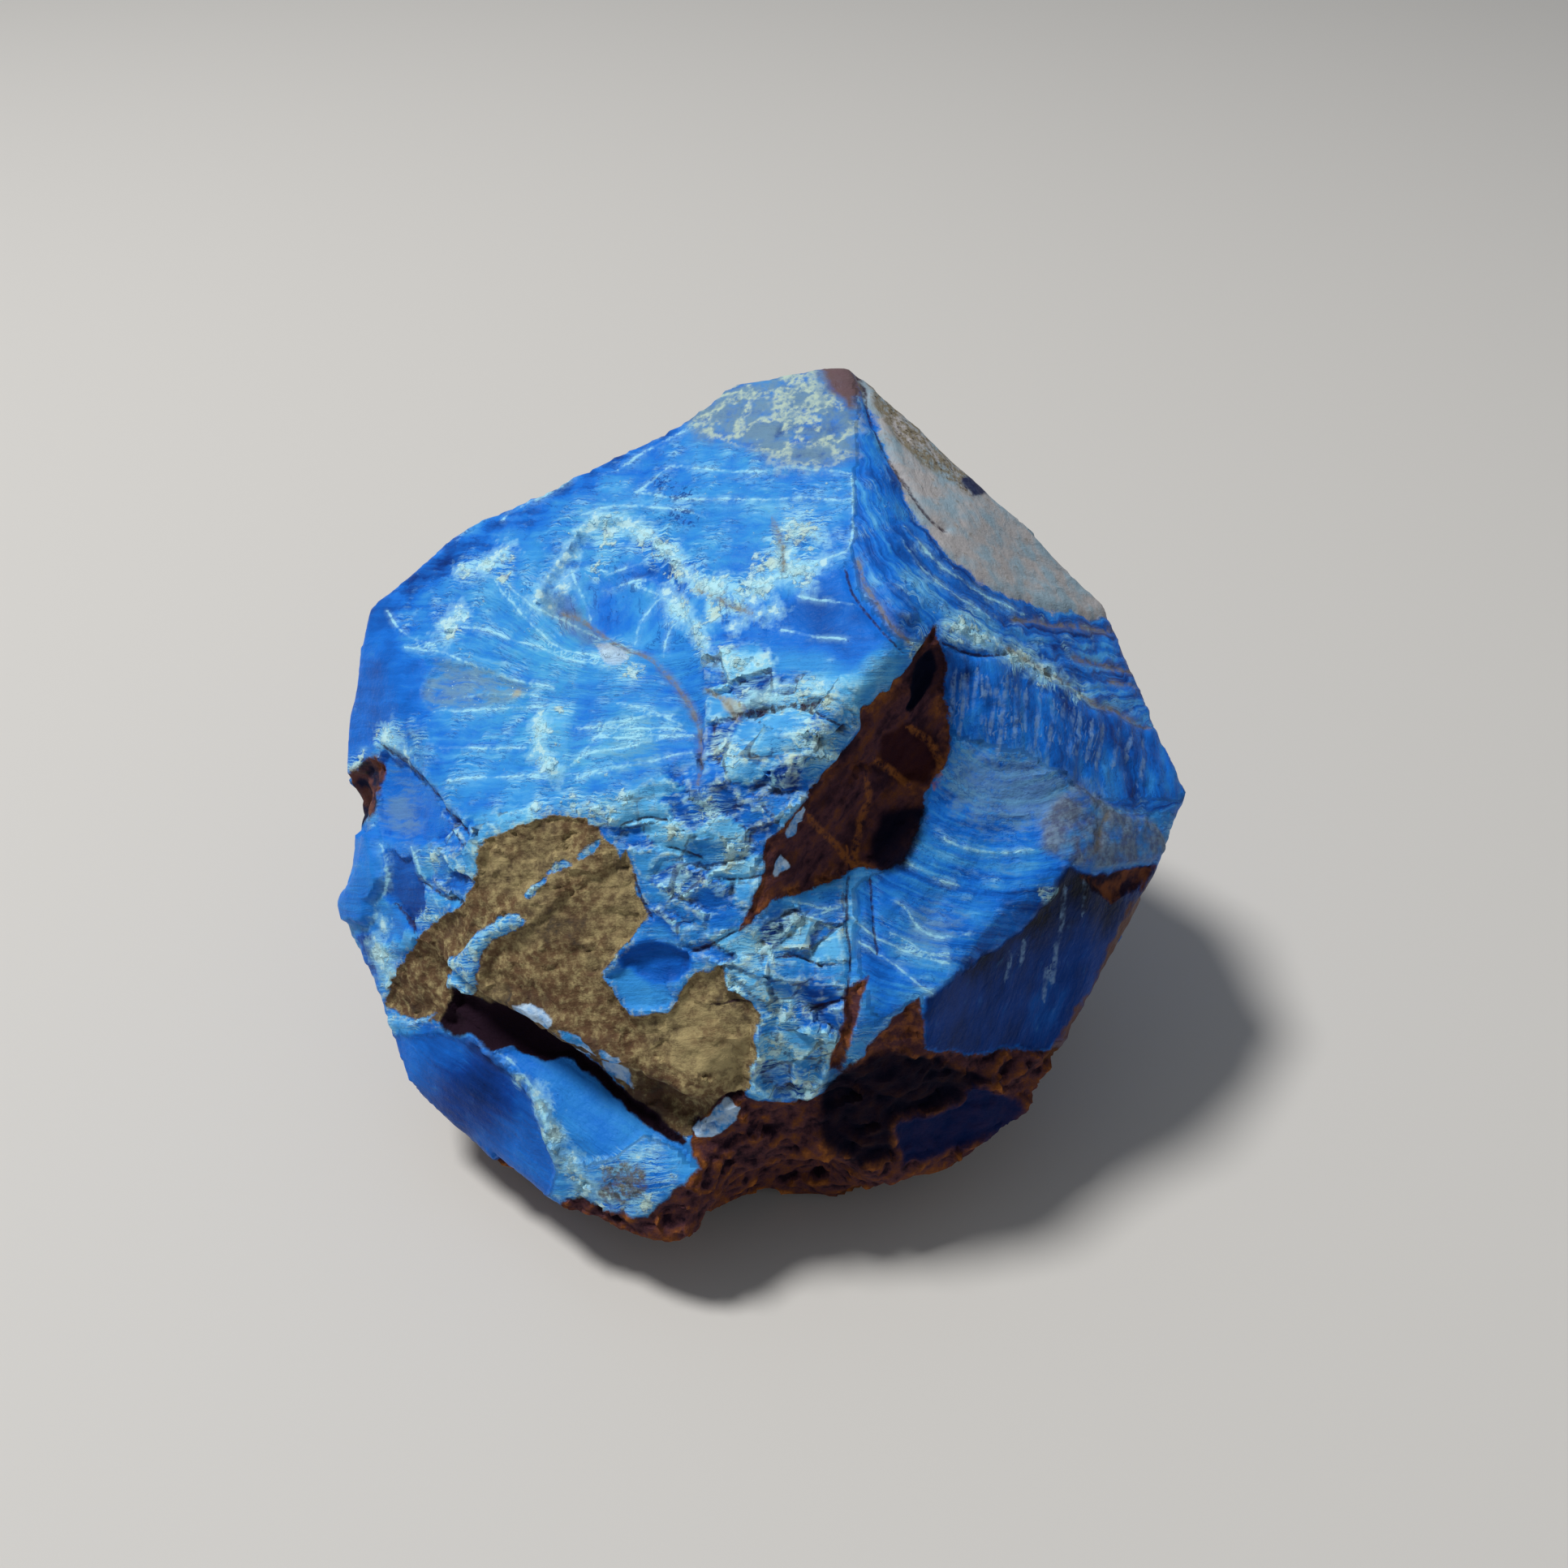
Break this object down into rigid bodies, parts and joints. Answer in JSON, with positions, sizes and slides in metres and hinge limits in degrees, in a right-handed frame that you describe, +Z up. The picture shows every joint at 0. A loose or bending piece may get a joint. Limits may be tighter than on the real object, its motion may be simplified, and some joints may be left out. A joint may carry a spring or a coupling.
{
  "type": "rough blue mineral specimen",
  "caption": "Rough lump of opaque blue, flow-banded mineral, broken into shell-like fracture faces, with pale crumbly veins and remnants of a brown rind.",
  "frame": {"origin": "middle of the bounding box at the flat that the stone stands on", "axes": "+Z up; +X to the right of the broken front, along the longest side; +Y from the scarred front to the back"},
  "size_m": [0.175, 0.1548, 0.1338],
  "materials": {
    "blue_stone": "waxy, broken"
  },
  "bodies": {
    "root": {"blue_stone": "blue_stone"}
  },
  "joints": []
}
